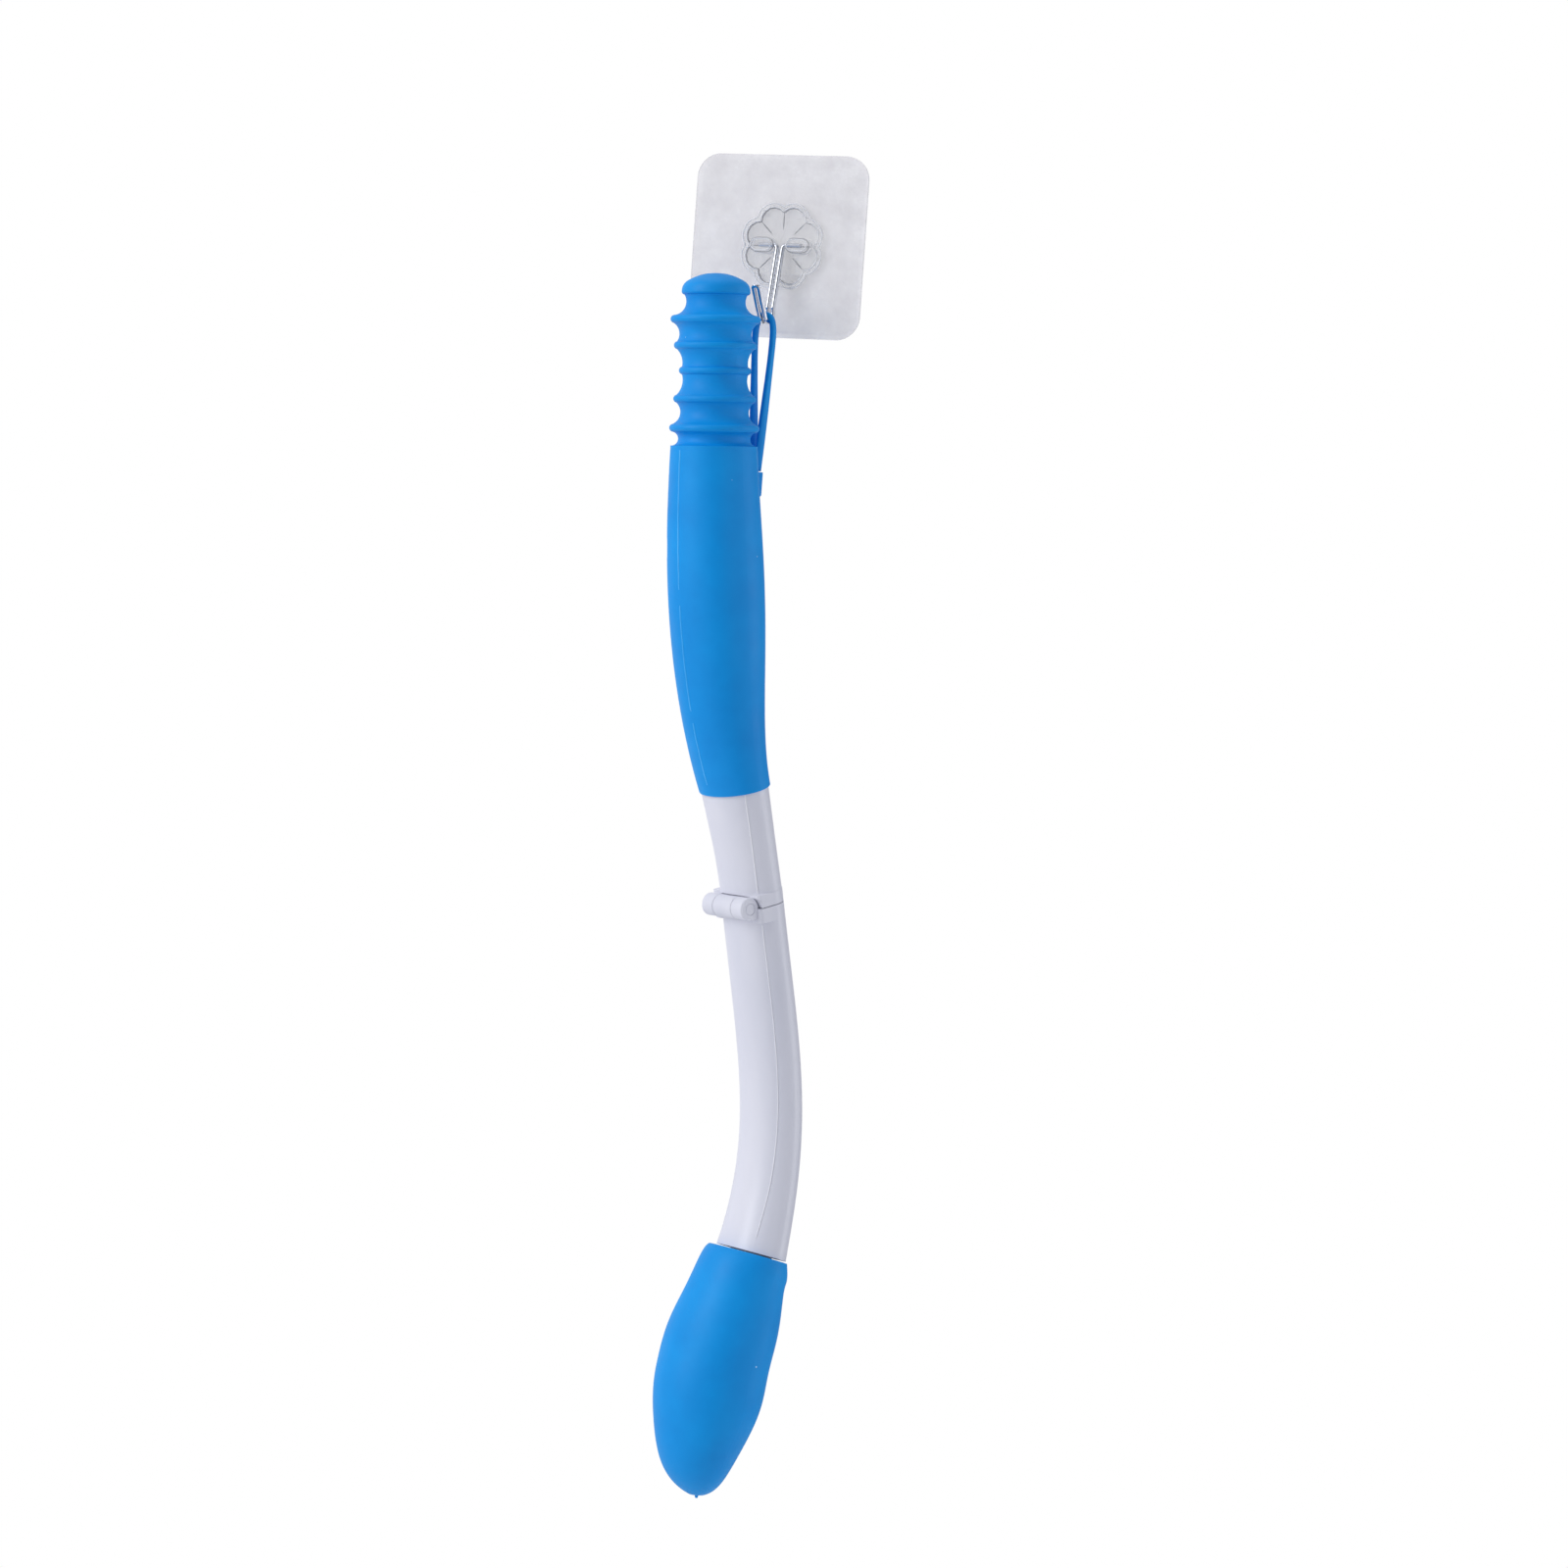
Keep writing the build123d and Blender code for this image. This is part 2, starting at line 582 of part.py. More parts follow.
def lug_block():
    """Boss on the sleeve's back that the strap's two ends are moulded into."""
    top = lug_centre()
    foot = SHOULDER_R - LUG_OUT
    block = box_between((-LUG_WIDTH / 2, foot - 0.8, -LUG_HEIGHT),
                        (LUG_WIDTH / 2, LUG_DEPTH / 2, 0))
    outer = block.edges().filter_by(Axis.Z).group_by(Axis.Y)[-1]
    block = fillet(outer, 1.1)
    low = block.faces().sort_by(Axis.Z)[0].edges().sort_by(Axis.Y)[-1]
    return Pos(*top) * chamfer(low, 1.0)


# ---- hanging the aid ----------------------------------------------------------------------------------
def aid_pieces():
    """Every piece of the aid in its own frame: name to (solid, density)."""
    upper_front, upper_rear = make_upper_shells()
    lower_front, lower_rear = make_lower_shells()
    return {
        "ribbed_tip": (make_ribbed_tip(), SOFT_DENSITY),
        "tip_spigot": (make_tip_spigot(), HARD_DENSITY),
        "grip_sleeve": (make_sleeve(), SOFT_DENSITY),
        "strap_lug": (lug_block(), SOFT_DENSITY),
        "upper_front_shell": (upper_front, HARD_DENSITY),
        "upper_rear_shell": (upper_rear, HARD_DENSITY),
        "upper_hinge_block": (make_upper_block(), HARD_DENSITY),
        "hinge_pin": (make_hinge_pin(), STEEL_DENSITY),
        "pin_cap": (make_pin_cap(), HARD_DENSITY),
        "lower_hinge_block": (make_lower_block(), HARD_DENSITY),
        "lock_tongue": (make_lock_tongue(), HARD_DENSITY),
        "lower_front_shell": (lower_front, HARD_DENSITY),
        "lower_rear_shell": (lower_rear, HARD_DENSITY),
        "head_spigot": (make_neck(), HARD_DENSITY),
        "soft_head": (make_head(), SOFT_DENSITY),
    }


def hang(pieces):
    """Placement that hangs the aid from its lug with its centre of mass on the plumb line."""
    mass = sum(solid.volume * density for solid, density in pieces.values())
    moment = Vector(0, 0, 0)
    for solid, density in pieces.values():
        moment += solid.center(CenterOf.MASS) * (solid.volume * density)
    arm = moment / mass - lug_centre()
    lean = math.degrees(math.atan2(arm.Y, -arm.Z))
    print("aid mass %.0f g, lean to hang plumb %.2f degrees" % (mass, lean))
    top = Vector(BOSS_X, hook_bend_y(), lug_top())
    return Pos(*top) * Rot(0, 0, TURN_ABOUT_PLUMB) * Rot(-lean, 0, 0) * Pos(*(lug_centre() * -1))


def main():
    os.makedirs("parts", exist_ok=True)
    pieces = aid_pieces()
    place = hang(pieces)
    nodes = {
        "adhesive_film": make_film(),
        "hook_plate": make_plate(),
        "flower_boss": make_boss(),
        "wire_hook": make_wire_hook(),
        "strap_loop": make_strap(),
    }
    nodes.update({name: place * solid for name, (solid, _) in pieces.items()})
    for name, solid in nodes.items():
        export_step(solid, os.path.join("parts", name + ".step"))
    pin = place * (hinge_plane() * Pos(0, -BARREL_FORWARD, BARREL_RISE))
    across = (place * Pos(1, 0, 0)).position - (place * Pos(0, 0, 0)).position
    print("fold pin at", [round(v, 4) for v in pin.position], "axis",
          [round(v, 5) for v in across])
    print("hook pivot y %.3f, bend y %.3f, lug top z %.3f" % (
        pivot_y(), hook_bend_y(), lug_top()))
    print("strap route", [[round(v, 3) for v in p] for p in strap_points()])


main()
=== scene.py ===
"""Folding wiping aid on an adhesive wall hook: finishes, moulded detail, light and camera."""
import json
import math

import bmesh
import bpy
from mathutils import Matrix, Vector


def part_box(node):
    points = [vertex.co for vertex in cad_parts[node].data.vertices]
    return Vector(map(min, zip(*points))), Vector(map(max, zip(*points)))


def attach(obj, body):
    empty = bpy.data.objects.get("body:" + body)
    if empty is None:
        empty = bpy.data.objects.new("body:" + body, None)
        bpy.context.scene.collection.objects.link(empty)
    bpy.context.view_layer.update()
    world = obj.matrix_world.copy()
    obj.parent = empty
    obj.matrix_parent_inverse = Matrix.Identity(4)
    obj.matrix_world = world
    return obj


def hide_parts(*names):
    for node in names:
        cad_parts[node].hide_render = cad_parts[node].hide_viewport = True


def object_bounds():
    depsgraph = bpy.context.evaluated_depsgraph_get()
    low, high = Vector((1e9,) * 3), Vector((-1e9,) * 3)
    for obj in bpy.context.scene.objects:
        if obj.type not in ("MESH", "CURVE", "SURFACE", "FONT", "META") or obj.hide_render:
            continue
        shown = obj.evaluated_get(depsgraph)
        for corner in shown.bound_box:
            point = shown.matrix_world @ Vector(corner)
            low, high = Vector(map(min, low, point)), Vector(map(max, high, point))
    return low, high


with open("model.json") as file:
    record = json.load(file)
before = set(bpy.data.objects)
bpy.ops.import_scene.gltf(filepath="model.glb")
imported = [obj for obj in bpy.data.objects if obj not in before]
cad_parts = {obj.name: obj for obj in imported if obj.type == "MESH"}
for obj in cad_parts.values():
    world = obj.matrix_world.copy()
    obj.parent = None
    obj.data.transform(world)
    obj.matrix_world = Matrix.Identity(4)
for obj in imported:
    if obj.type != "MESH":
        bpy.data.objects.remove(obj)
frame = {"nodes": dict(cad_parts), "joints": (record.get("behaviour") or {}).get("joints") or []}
cad_box = [list(corner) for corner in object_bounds()]

MM = 0.001
SCENE = bpy.context.scene

# ---- the aid's own frame: x across, y to its back, z up its length ------------------------------
FOLD = next(joint for joint in frame["joints"] if joint["name"] == "fold")
ACROSS = -Vector(FOLD["axis"]).normalized()
LEAN = 0.36              # degrees that the aid's length leans off plumb, towards its front
UP = Matrix.Rotation(math.radians(-LEAN), 3, ACROSS) @ Vector((0, 0, 1))
BACK = UP.cross(ACROSS).normalized()
PIN = Vector(FOLD["pos_m"])


# ---- camera -------------------------------------------------------------------------------------
CAMERA_PLACE = Vector((456.9, -1214.7, -125.9)) * MM
CAMERA_LENS = 90.0       # millimetres, on a 36 mm sensor
CAMERA_AZIMUTH = 20.01   # degrees round to the aid's right
CAMERA_PITCH = 2.24      # degrees down
CAMERA_ROLL = 3.92


def make_camera():
    data = bpy.data.cameras.new("camera")
    data.lens = CAMERA_LENS
    data.sensor_width = 36.0
    data.clip_start = 0.01
    camera = bpy.data.objects.new("camera", data)
    SCENE.collection.objects.link(camera)
    turn = (Matrix.Rotation(math.radians(CAMERA_AZIMUTH), 4, "Z")
            @ Matrix.Rotation(math.radians(90 - CAMERA_PITCH), 4, "X")
            @ Matrix.Rotation(math.radians(CAMERA_ROLL), 4, "Z"))
    camera.matrix_world = Matrix.Translation(CAMERA_PLACE) @ turn
    SCENE.camera = camera


# ---- making pieces ------------------------------------------------------------------------------
def new_piece(name, mesh_data, body, finish):
    """A piece at the origin that rides on a body and wears a finish."""
    piece = bpy.data.objects.new(name, mesh_data)
    SCENE.collection.objects.link(piece)
    mesh_data.materials.append(finish)
    mesh_data.shade_smooth()
    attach(piece, body)
    return piece


def mesh_from(bm, name):
    data = bpy.data.meshes.new(name)
    bm.to_mesh(data)
    bm.free()
    return data


def curve_through(name, kind, points):
    """A curve datablock with one spline of a kind, and that spline."""
    curve = bpy.data.curves.new(name, "CURVE")
    curve.dimensions = "3D"
    spline = curve.splines.new(kind)
    spline.points.add(len(points) - 1)
    for place, point in zip(spline.points, points):
        place.co = (*point, 1.0)
    return curve, spline


def nurbs_curve(name, points):
    curve, spline = curve_through(name, "NURBS", points)
    curve.resolution_u = 24
    spline.order_u = 3
    spline.use_endpoint_u = True
    return curve


def mesh_of_curve(name, curve):
    holder = bpy.data.objects.new(name, curve)
    data = bpy.data.meshes.new_from_object(holder)
    data.name = name
    bpy.data.objects.remove(holder)
    return data


def spline_points(points):
    """Points along the smooth NURBS line that has these as its control points."""
    line = mesh_of_curve("route", nurbs_curve("route", points))
    found = [vertex.co.copy() for vertex in line.vertices]
    bpy.data.meshes.remove(line)
    return found


def tube_of(sections):
    """A closed tube from its sections, each a ring of points, joined ring to ring."""
    bm = bmesh.new()
    rings = []
    for ring in sections:
        verts = [bm.verts.new(corner) for corner in ring]
        rings.append([bm.edges.new((a, b)) for a, b in zip(verts, verts[1:] + verts[:1])])
    for before, after in zip(rings, rings[1:]):
        bmesh.ops.bridge_loops(bm, edges=before + after)
    bmesh.ops.holes_fill(bm, edges=rings[0] + rings[-1])
    bmesh.ops.recalc_face_normals(bm, faces=bm.faces)
    return bm


# ---- strap --------------------------------------------------------------------------------------
STRAP_ROUTE = [Vector(p) * MM for p in (
    (1.05, -12.59, -74.6), (-1.0, -13.68, -38.5), (-1.15, -13.68, -23.5),
    (5.15, -13.68, -23.5), (5.0, -13.68, -38.5), (2.95, -14.78, -74.6))]
STRAP_WIDTH = 3.0 * MM
STRAP_THICK = 1.7 * MM


def band_section(centre, wide, thin, corners=12):
    """A rounded flat section: a super-ellipse of the band's width and thickness."""
    ring = []
    for step in range(corners):
        angle = math.tau * step / corners
        c, s = math.cos(angle), math.sin(angle)
        across = math.copysign(abs(c) ** 0.6, c) * STRAP_WIDTH / 2
        through = math.copysign(abs(s) ** 0.6, s) * STRAP_THICK / 2
        ring.append(centre + wide * across + thin * through)
    return ring


def make_strap(finish):
    path = spline_points(STRAP_ROUTE)
    end_way = Vector((STRAP_ROUTE[0] - STRAP_ROUTE[-1]).xy.to_3d()).normalized()
    flat_at_lug = Vector((0, 0, 1)).cross(end_way)
    rings = []
    for i, point in enumerate(path):
        along = (path[min(i + 1, len(path) - 1)] - path[max(i - 1, 0)]).normalized()
        low = (STRAP_ROUTE[1].z - point.z) / (STRAP_ROUTE[1].z - STRAP_ROUTE[0].z)
        share = min(max(low, 0.0), 1.0)
        aim = Vector((0, 1, 0)).lerp(flat_at_lug * math.copysign(1, flat_at_lug.y), share)
        wide = (aim - along * aim.dot(along)).normalized()
        rings.append(band_section(point, wide, along.cross(wide)))
    piece = new_piece("strap_band", mesh_from(tube_of(rings), "strap_band"), "strap",
                      finish)
    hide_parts("strap_loop")


# ---- finishes -----------------------------------------------------------------------------------
def linear(hex_colour):
    """An sRGB hex colour as linear red, green, blue and alpha."""
    parts = [int(hex_colour[i:i + 2], 16) / 255 for i in (1, 3, 5)]
    return (*(p / 12.92 if p <= 0.04045 else ((p + 0.055) / 1.055) ** 2.4 for p in parts), 1.0)


def add_node(material, kind, inputs=None, **settings):
    """Adds a node with its settings, and sets or links its inputs."""
    node = material.node_tree.nodes.new(kind)
    for name, value in settings.items():
        setattr(node, name, value)
    for name, value in (inputs or {}).items():
        if isinstance(value, bpy.types.NodeSocket):
            material.node_tree.links.new(value, node.inputs[name])
        else:
            node.inputs[name].default_value = value
    return node


def new_finish(name):
    """An empty material with its shader, its output and its object coordinates."""
    material = bpy.data.materials.new(name)
    material.use_nodes = True
    material.node_tree.nodes.clear()
    shader = add_node(material, "ShaderNodeBsdfPrincipled")
    add_node(material, "ShaderNodeOutputMaterial", {"Surface": shader.outputs["BSDF"]})
    place = add_node(material, "ShaderNodeTexCoord").outputs["Object"]
    return material, shader, place


def per_mm(spacing):
    """Noise scale whose features are about this many millimetres apart."""
    return 1.0 / (spacing * MM)


def ramp(material, factor, stops):
    """A colour ramp through (position, hex colour) stops."""
    node = add_node(material, "ShaderNodeValToRGB", {"Fac": factor})
    elements = node.color_ramp.elements
    while len(elements) < len(stops):
        elements.new(1.0)
    for element, (position, colour) in zip(elements, stops):
        element.position = position
        element.color = linear(colour)
    return node.outputs["Color"]


def moulded_elastomer(name, colours):
    """Thermoplastic elastomer from a spark-eroded mould: satin, slightly cloudy, holds dust."""
    material, shader, place = new_finish(name)
    cloud = add_node(material, "ShaderNodeTexNoise",
                     {"Vector": place, "Scale": per_mm(22), "Detail": 3.0, "Roughness": 0.55})
    body = ramp(material, cloud.outputs["Fac"], ((0.3, colours[0]), (0.7, colours[1])))
    dust = add_node(material, "ShaderNodeTexVoronoi", {"Vector": place, "Scale": per_mm(7.5)})
    pick = add_node(material, "ShaderNodeTexNoise", {"Vector": place, "Scale": per_mm(9)})
    size = add_node(material, "ShaderNodeMapRange",
                    {"Value": pick.outputs["Fac"], "From Min": 0.45, "From Max": 0.7,
                     "To Min": 0.0, "To Max": 0.055})
    speck = add_node(material, "ShaderNodeMath", {0: dust.outputs["Distance"],
                                                  1: size.outputs["Result"]}, operation="LESS_THAN")
    colour = add_node(material, "ShaderNodeMix", data_type="RGBA")
    material.node_tree.links.new(speck.outputs["Value"], colour.inputs[0])
    material.node_tree.links.new(body, colour.inputs[6])
    colour.inputs[7].default_value = linear(colours[2])
    grain = add_node(material, "ShaderNodeTexNoise",
                     {"Vector": place, "Scale": per_mm(0.35), "Detail": 2.0})
    wave = add_node(material, "ShaderNodeTexNoise", {"Vector": place, "Scale": per_mm(14)})
    fine = add_node(material, "ShaderNodeBump", {"Height": grain.outputs["Fac"], "Strength": 0.10,
                                                 "Distance": 0.05 * MM})
    coarse = add_node(material, "ShaderNodeBump", {"Height": wave.outputs["Fac"], "Strength": 0.25,
                                                   "Distance": 0.5 * MM,
                                                   "Normal": fine.outputs["Normal"]})
    rough = add_node(material, "ShaderNodeMapRange",
                     {"Value": wave.outputs["Fac"], "From Min": 0.3, "From Max": 0.7,
                      "To Min": 0.44, "To Max": 0.56})
    for socket, value in (("Base Color", colour.outputs[2]), ("Normal", coarse.outputs["Normal"]),
                          ("Roughness", rough.outputs["Result"])):
        material.node_tree.links.new(value, shader.inputs[socket])
    shader.inputs["IOR"].default_value = 1.50
    shader.inputs["Specular IOR Level"].default_value = 0.22
    return material


def moulded_abs(name, colours, roughness):
    """Injection-moulded ABS: opaque cool white with a soft gloss and faint flow marks."""
    material, shader, place = new_finish(name)
    stretched = add_node(material, "ShaderNodeMapping", {"Vector": place, "Scale": (1, 1, 0.25)})
    flow = add_node(material, "ShaderNodeTexNoise",
                    {"Vector": stretched.outputs["Vector"], "Scale": per_mm(16), "Detail": 4.0})
    colour = ramp(material, flow.outputs["Fac"], ((0.3, colours[0]), (0.7, colours[1])))
    grain = add_node(material, "ShaderNodeTexNoise",
                     {"Vector": place, "Scale": per_mm(0.5), "Detail": 2.0})
    fine = add_node(material, "ShaderNodeBump", {"Height": grain.outputs["Fac"], "Strength": 0.05,
                                                 "Distance": 0.03 * MM})
    sink = add_node(material, "ShaderNodeBump", {"Height": flow.outputs["Fac"], "Strength": 0.2,
                                                 "Distance": 0.3 * MM,
                                                 "Normal": fine.outputs["Normal"]})
    rough = add_node(material, "ShaderNodeMapRange",
                     {"Value": flow.outputs["Fac"], "From Min": 0.3, "From Max": 0.7,
                      "To Min": roughness - 0.04, "To Max": roughness + 0.05})
    for socket, value in (("Base Color", colour), ("Normal", sink.outputs["Normal"]),
                          ("Roughness", rough.outputs["Result"])):
        material.node_tree.links.new(value, shader.inputs[socket])
    shader.inputs["IOR"].default_value = 1.53
    return material


def clear_moulding(name, colour, roughness, haze, grain_mm, cover):
    """Clear styrene or vinyl moulding: see-through, with a frosting of fine grain on its skin."""
    material, shader, place = new_finish(name)
    mist = add_node(material, "ShaderNodeTexNoise",
                    {"Vector": place, "Scale": per_mm(9), "Detail": 5.0, "Roughness": 0.6})
    grain = add_node(material, "ShaderNodeTexNoise",
                     {"Vector": place, "Scale": per_mm(grain_mm), "Detail": 3.0})
    bump = add_node(material, "ShaderNodeBump", {"Height": grain.outputs["Fac"], "Strength": haze,
                                                 "Distance": 0.08 * MM})
    rough = add_node(material, "ShaderNodeMapRange",
                     {"Value": mist.outputs["Fac"], "From Min": 0.35, "From Max": 0.65,
                      "To Min": roughness * 0.8, "To Max": roughness * 1.2})
    tint = ramp(material, mist.outputs["Fac"], ((0.3, colour[0]), (0.7, colour[1])))
    for socket, value in (("Base Color", tint), ("Normal", bump.outputs["Normal"]),
                          ("Roughness", rough.outputs["Result"])):
        material.node_tree.links.new(value, shader.inputs[socket])
    shader.inputs["IOR"].default_value = 1.49
    shader.inputs["Alpha"].default_value = cover
    shader.inputs["Coat Weight"].default_value = 0.6
    shader.inputs["Coat Roughness"].default_value = 0.06
    return material


def plated_wire(name, colour, roughness):
    """Drawn steel wire, nickel and chrome plated: a mirror with faint draw marks along it."""
    material, shader, place = new_finish(name)
    stretched = add_node(material, "ShaderNodeMapping", {"Vector": place, "Scale": (1, 1, 0.05)})
    marks = add_node(material, "ShaderNodeTexNoise",
                     {"Vector": stretched.outputs["Vector"], "Scale": per_mm(0.25), "Detail": 2.0})
    bump = add_node(material, "ShaderNodeBump", {"Height": marks.outputs["Fac"], "Strength": 0.06,
                                                 "Distance": 0.02 * MM})
    spots = add_node(material, "ShaderNodeTexNoise", {"Vector": place, "Scale": per_mm(4)})
    rough = add_node(material, "ShaderNodeMapRange",
                     {"Value": spots.outputs["Fac"], "From Min": 0.3, "From Max": 0.7,
                      "To Min": roughness, "To Max": roughness + 0.08})
    tint = ramp(material, spots.outputs["Fac"], ((0.3, colour[0]), (0.7, colour[1])))
    for socket, value in (("Base Color", tint), ("Normal", bump.outputs["Normal"]),
                          ("Roughness", rough.outputs["Result"])):
        material.node_tree.links.new(value, shader.inputs[socket])
    shader.inputs["Metallic"].default_value = 1.0
    return material


def dress(node, finish):
    """Gives a CAD node its finish."""
    slots = frame["nodes"][node].data.materials
    slots.clear()
    slots.append(finish)


# ---- lines moulded on the surfaces --------------------------------------------------------------
FLASH_R = 0.28 * MM      # half width of the flash that a mould's joint leaves
FLASH_RIPPLE = 0.06 * MM
LINE_R = 0.22 * MM       # half width of the arms' parting lines
BEAD_SINK = 0.35         # share of a bead's radius that is under the surface


def cut_points(node, place, normal):
    """Where a plane cuts a CAD node's surface."""
    bm = bmesh.new()
    bm.from_mesh(frame["nodes"][node].data)
    parts = list(bm.verts) + list(bm.edges) + list(bm.faces)
    cut = bmesh.ops.bisect_plane(bm, geom=parts, plane_co=place, plane_no=normal, dist=1e-7)
    found = [e.co.copy() for e in cut["geom_cut"] if isinstance(e, bmesh.types.BMVert)]
    bm.free()
    return found


def extreme_line(node, way, stations, low_gap, high_gap):
    """The outermost points of a node, towards a direction, at even heights along it."""
    low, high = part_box(node)
    line = []
    for step in range(stations):
        share = step / (stations - 1)
        height = (low[2] + low_gap) * (1 - share) + (high[2] - high_gap) * share
        around = cut_points(node, Vector((0, 0, height)), Vector((0, 0, 1)))
        if around:
            line.append(max(around, key=lambda point: point.dot(way)))
    return line


def bead(name, points, radius, body, finish, out):
    """A thin raised bead along a line on a surface, sunk a little into it against its way out."""
    curve = nurbs_curve(name, [point - out * (radius * BEAD_SINK) for point in points])
    curve.bevel_depth = radius
    curve.bevel_resolution = 3
    curve.use_fill_caps = True
    return new_piece(name, mesh_of_curve(name, curve), body, finish)




def middle_line(node, side, low_gap, high_gap, stations, ripple=0.0):
    """The node's outline in the aid's middle plane, on its front (-1) or back (+1)."""
    line = []
    low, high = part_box(node)
    cut = cut_points(node, PIN, ACROSS)
    bottom, top = low[2] + low_gap, high[2] - high_gap
    for step in range(stations):
        height = bottom + (top - bottom) * step / (stations - 1)
        reach = (top - bottom) / (stations - 1) * 0.75
        near = [p for p in cut if abs(p.z - height) < reach]
        near = near or [min(cut, key=lambda p: abs(p.z - height))]
        point = max(near, key=lambda p: side * p.dot(BACK) - abs(p.z - height))
        wave = ripple * (math.sin(step * 2.1) + 0.6 * math.sin(step * 5.3 + 1))
        line.append(point + ACROSS * wave)
    return line


def make_flash_lines(finish):
    """Flash where the two halves of the sleeve's mould met, front and back, in a lighter blue
    finish that is a painted highlight along it.
    """
    for side, name in ((-1, "front"), (1, "back")):
        points = middle_line("grip_sleeve", side, 3.5 * MM, 1.5 * MM, 60, FLASH_RIPPLE)
        bead(f"sleeve_{name}_flash", points, FLASH_R, "handle", finish,
             out=BACK * side)


def make_parting_lines(finish):
    """The raised line where the arms' front and rear shells meet, on both sides, in a whiter finish
    that is a painted highlight along it.
    """
    for node, body, low_gap, high_gap in (("upper_front_shell", "handle", 1.0, 8.0),
                                          ("lower_front_shell", "lower_arm", 4.5, 1.0)):
        for side, name in ((-1, "left"), (1, "right")):
            points = extreme_line(node, ACROSS * side, 20, low_gap * MM, high_gap * MM)
            bead(f"{node}_{name}_line", points, LINE_R, body, finish,
                 out=ACROSS * side)


# ---- flower boss --------------------------------------------------------------------------------
PETALS = 8
PETAL_CENTRE_R = 8.7 * MM
PETAL_R = 6.0 * MM
RIM_WIDTH = 1.5 * MM
RIM_HEIGHT = 0.7 * MM
RIM_EDGE_R = 0.2 * MM
RIM_EDGE_INSET = 0.15 * MM
PETAL_FACE_Y = -2.5 * MM     # face of the boss inside its rim
CREASE_LENGTH = 5.5 * MM
CREASE_REACH = 8.0 * MM      # from the boss's middle to the middle of a crease
EAR_MIDDLE = 6.2 * MM        # from the middle of the boss to the middle of an ear
EAR_LENGTH = 8.0 * MM
EAR_HEIGHT = 4.6 * MM
EAR_DEPTH = 4.0 * MM
EAR_EDGE_R = 0.16 * MM


def petal_line(inset, height, steps=7):
    """The flower's outline drawn in by an inset: one arc per petal."""
    low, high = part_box("flower_boss")
    centre = Vector(((low[0] + high[0]) / 2, height, (low[2] + high[2]) / 2))
    radius = PETAL_R - inset
    half = math.pi / PETALS
    meet = (PETAL_CENTRE_R * math.cos(half)
            + math.sqrt(radius ** 2 - (PETAL_CENTRE_R * math.sin(half)) ** 2))
    span = math.atan2(meet * math.sin(half), meet * math.cos(half) - PETAL_CENTRE_R)
    line = []
    for petal in range(PETALS):
        way = math.tau * (petal + 0.5) / PETALS
        for step in range(steps):
            angle = way + span * (2 * step / (steps - 1) - 1)
            line.append(centre + Vector((math.cos(way), 0, math.sin(way))) * PETAL_CENTRE_R
                        + Vector((math.cos(angle), 0, math.sin(angle))) * radius)
    return line


def slot_line(middle, inset, steps=9):
    """Outline of one ear, seen from the front: two half circles joined by straights."""
    line = []
    for side in (1, -1):
        end = middle + Vector((side * (EAR_LENGTH - EAR_HEIGHT) / 2, 0, 0))
        for step in range(steps):
            angle = math.pi * step / (steps - 1) - math.pi / 2
            line.append(end + Vector((side * math.cos(angle), 0, side * math.sin(angle)))
                        * (EAR_HEIGHT / 2 - inset))
    return line


def closed_bead(name, points, radius, finish):
    """A thin rounded edge along a closed line on the boss."""
    curve, spline = curve_through(name, "POLY", points)
    spline.use_cyclic_u = True
    curve.bevel_depth = radius
    curve.bevel_resolution = 3
    return new_piece(name, mesh_of_curve(name, curve), "wall_plate", finish)


def make_rim_edges(centre, edge, crease):
    """The rounded edges of the flower's rim, brightened with painted highlights, and the dark line
    at its foot, which is painted shade.
    """
    for name, inset, height, finish in (
            ("outer_edge", RIM_EDGE_INSET, RIM_HEIGHT, edge),
            ("inner_edge", RIM_WIDTH - RIM_EDGE_INSET, RIM_HEIGHT, edge),
            ("foot_edge", RIM_WIDTH + 0.1 * MM, 0.0, crease)):
        closed_bead(f"boss_{name}", petal_line(inset, centre.y - height), RIM_EDGE_R, finish)


def make_ear_edges(centre, edge, crease):
    """Rounded lines round the two ears: at the top, part of the way down and at the foot; the top
    and foot lines carry painted highlights, the line part of the way down painted shade.
    """
    for side, name in ((-1, "left"), (1, "right")):
        top = centre + Vector((side * EAR_MIDDLE, -EAR_DEPTH, 0))
        for part, inset, down, finish in (("top", 0.5 * MM, 0.0, edge),
                                          ("waist", -0.05 * MM, 1.2 * MM, crease),
                                          ("foot", -0.1 * MM, EAR_DEPTH, edge)):
            closed_bead(f"{name}_ear_{part}", slot_line(top + Vector((0, down, 0)), inset),
                        EAR_EDGE_R, finish)


def make_creases(centre, finish):
    """The creases between petals, each a long thin ellipsoid half sunk in the face, in a darker
    finish that is painted shade in the creases.
    """
    bm = bmesh.new()
    for petal in range(PETALS):
        shape = (Matrix.Translation(centre)
                 @ Matrix.Rotation(math.tau * petal / PETALS, 4, "Y")
                 @ Matrix.Translation((0, 0, CREASE_REACH))
                 @ Matrix.Diagonal((0.22 * MM, 0.2 * MM, CREASE_LENGTH / 2, 1)))
        bmesh.ops.create_icosphere(bm, subdivisions=3, radius=1.0, matrix=shape)
    new_piece("petal_creases", mesh_from(bm, "petal_creases"), "wall_plate", finish)


def make_boss_detail(edge, crease):
    low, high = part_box("flower_boss")
    centre = Vector(((low[0] + high[0]) / 2, PETAL_FACE_Y, (low[2] + high[2]) / 2))
    # edge is the painted highlight finish, crease the painted shade finish
    make_rim_edges(centre, edge, crease)
    make_ear_edges(centre, edge, crease)
    make_creases(centre, crease)


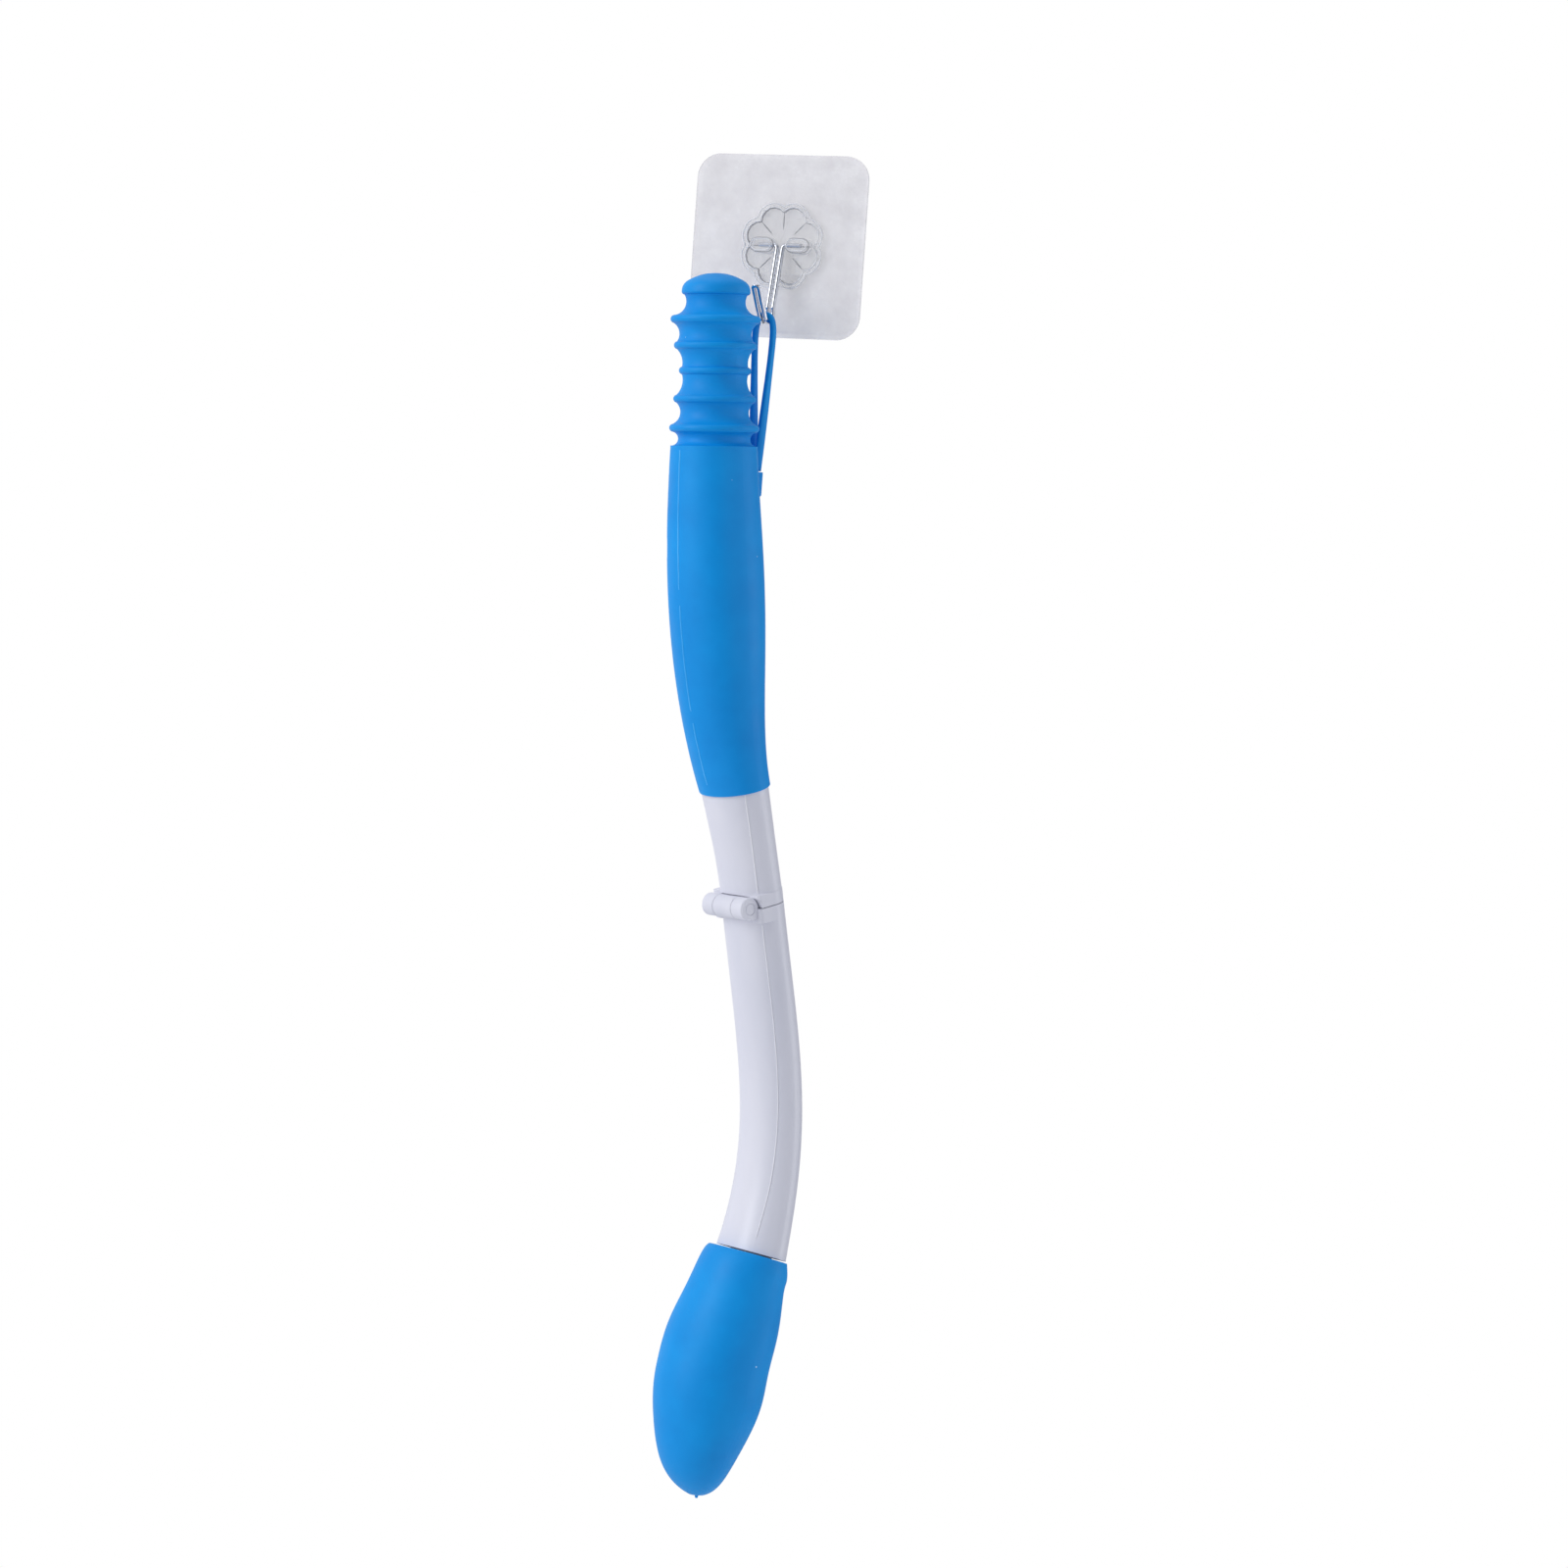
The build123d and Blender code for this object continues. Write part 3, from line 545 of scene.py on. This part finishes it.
# ---- stage --------------------------------------------------------------------------------------
def area_light(name, place, aim, size, power):
    data = bpy.data.lights.new(name, "AREA")
    data.shape = "RECTANGLE"
    data.size, data.size_y = size
    data.energy = power
    light = bpy.data.objects.new(name, data)
    SCENE.collection.objects.link(light)
    light.location = place
    light.rotation_euler = (Vector(aim) - Vector(place)).to_track_quat("-Z", "Y").to_euler()


FLOOR_DROP = 0.5         # the aid hangs well clear of the floor
FLOOR_RADIUS = 1.1


def make_floor():
    floor_z = cad_box[0][2] - FLOOR_DROP
    bm = bmesh.new()
    bmesh.ops.create_circle(bm, cap_ends=True, segments=96, radius=FLOOR_RADIUS,
                            matrix=Matrix.Translation((0, 0, floor_z)))
    floor = bpy.data.objects.new("floor", mesh_from(bm, "floor"))
    SCENE.collection.objects.link(floor)
    paper, shader, place = new_finish("studio_paper")
    tone = add_node(paper, "ShaderNodeTexNoise", {"Vector": place, "Scale": 3.0})
    shade = ramp(paper, tone.outputs["Fac"], ((0.3, "#f6f6f7"), (0.7, "#fbfbfc")))
    paper.node_tree.links.new(shade, shader.inputs["Base Color"])
    shader.inputs["Roughness"].default_value = 0.9
    floor.data.materials.append(paper)


def make_lights():
    middle = (0, 0, -0.2)
    area_light("key", (-1.1, -1.2, 0.5), middle, (0.7, 1.4), 13.5)
    area_light("fill", (1.4, -1.2, 0.1), middle, (1.2, 1.6), 1.2)
    area_light("rim", (1.1, 0.6, 0.0), middle, (0.4, 1.6), 3)
    area_light("top", (0, 0, 1.3), middle, (1.4, 1.4), 4)


def make_surround():
    """White where the camera looks. Elsewhere a pale room with a dark drape right of the camera,
    which the chrome and the plastic reflect."""
    world = bpy.data.worlds.new("studio")
    SCENE.world = world
    world.use_nodes = True
    world.node_tree.nodes.clear()
    way = add_node(world, "ShaderNodeTexCoord")
    split = add_node(world, "ShaderNodeSeparateXYZ", {"Vector": way.outputs["Generated"]})
    across = add_node(world, "ShaderNodeMapRange", {"Value": split.outputs["X"],
                                                    "From Min": -1.0, "From Max": 1.0})
    drape = ramp(world, across.outputs["Result"],
                 ((0.0, "#f4f6ff"), (0.45, "#f4f6ff"), (0.56, "#8b9099"), (0.78, "#7d828c"),
                  (0.9, "#f4f6ff"), (1.0, "#f4f6ff")))
    cast = add_node(world, "ShaderNodeBackground", {"Color": drape, "Strength": 0.74})
    seen = add_node(world, "ShaderNodeBackground", {"Color": (1, 1, 1, 1)})
    ray = add_node(world, "ShaderNodeLightPath")
    mix = add_node(world, "ShaderNodeMixShader", {0: ray.outputs["Is Camera Ray"],
                                                  1: cast.outputs["Background"],
                                                  2: seen.outputs["Background"]})
    add_node(world, "ShaderNodeOutputWorld", {"Surface": mix.outputs["Shader"]})


def make_stage():
    make_floor()
    make_lights()
    make_surround()
    SCENE.view_settings.view_transform = "Standard"


# ---- the object ---------------------------------------------------------------------------------
make_camera()
# soft blue: thermoplastic elastomer; white: ABS; plate: frosted vinyl; boss: clear styrene;
# film: acrylic foam; wire: plated steel; pin: turned steel
BLUE = moulded_elastomer("satin_elastomer", ("#008fe0", "#009cec", "#b4e2ff"))
# a lighter copy of the blue elastomer: painted highlight along the sleeve's flash lines
BLUE_FLASH_HIGHLIGHT = moulded_elastomer("flash_elastomer_painted_highlight", ("#3cb0f6", "#62c4ff", "#c4e8ff"))
make_strap(BLUE)
WHITE = moulded_abs("satin_abs", ("#dedfe9", "#e6e6ee"), 0.34)
# a whiter, glossier copy of the ABS: painted highlight along the arms' parting lines
WHITE_LINE_HIGHLIGHT = moulded_abs("abs_line_painted_highlight", ("#e9e9f0", "#f2f2f6"), 0.30)
PLATE = clear_moulding("frosted_vinyl", ("#dcd8dd", "#f4f2f5"), 0.24, 1.0, 0.9, 0.42)
BOSS = clear_moulding("clear_styrene", ("#eeeff2", "#fcfcfd"), 0.05, 0.08, 3.0, 0.16)
# a brighter, more opaque copy of the clear styrene: painted highlights on the rim and ear edges
BOSS_EDGE_HIGHLIGHT = clear_moulding("styrene_edge_painted_highlight", ("#f2f3f6", "#ffffff"), 0.05, 0.05, 3.0, 0.85)
# a darker grey copy of the clear styrene: painted shade in the petal creases, at the rim's foot and
# round the ears' waists
CREASE_SHADE = clear_moulding("styrene_crease_painted_shade", ("#8f9096", "#a9aab0"), 0.12, 0.05, 3.0, 0.5)
FILM = clear_moulding("acrylic_foam", ("#e4e4e7", "#f0f0f2"), 0.5, 0.3, 1.5, 0.2)
CHROME = plated_wire("chrome_plate", ("#c9ccd2", "#dfe1e6"), 0.06)
STEEL = plated_wire("turned_steel", ("#9a9a9c", "#b4b4b6"), 0.22)

for node in ("ribbed_tip", "grip_sleeve", "strap_lug", "soft_head"):
    dress(node, BLUE)
for node in ("tip_spigot", "upper_front_shell", "upper_rear_shell", "upper_hinge_block", "pin_cap",
             "lower_hinge_block", "lock_tongue", "lower_front_shell", "lower_rear_shell",
             "head_spigot"):
    dress(node, WHITE)
dress("hinge_pin", STEEL)
dress("wire_hook", CHROME)
dress("hook_plate", PLATE)
dress("flower_boss", BOSS)
dress("adhesive_film", FILM)
for node in frame["nodes"].values():
    node.data.shade_smooth()

make_flash_lines(BLUE_FLASH_HIGHLIGHT)
make_parting_lines(WHITE_LINE_HIGHLIGHT)
make_boss_detail(BOSS_EDGE_HIGHLIGHT, CREASE_SHADE)
make_stage()
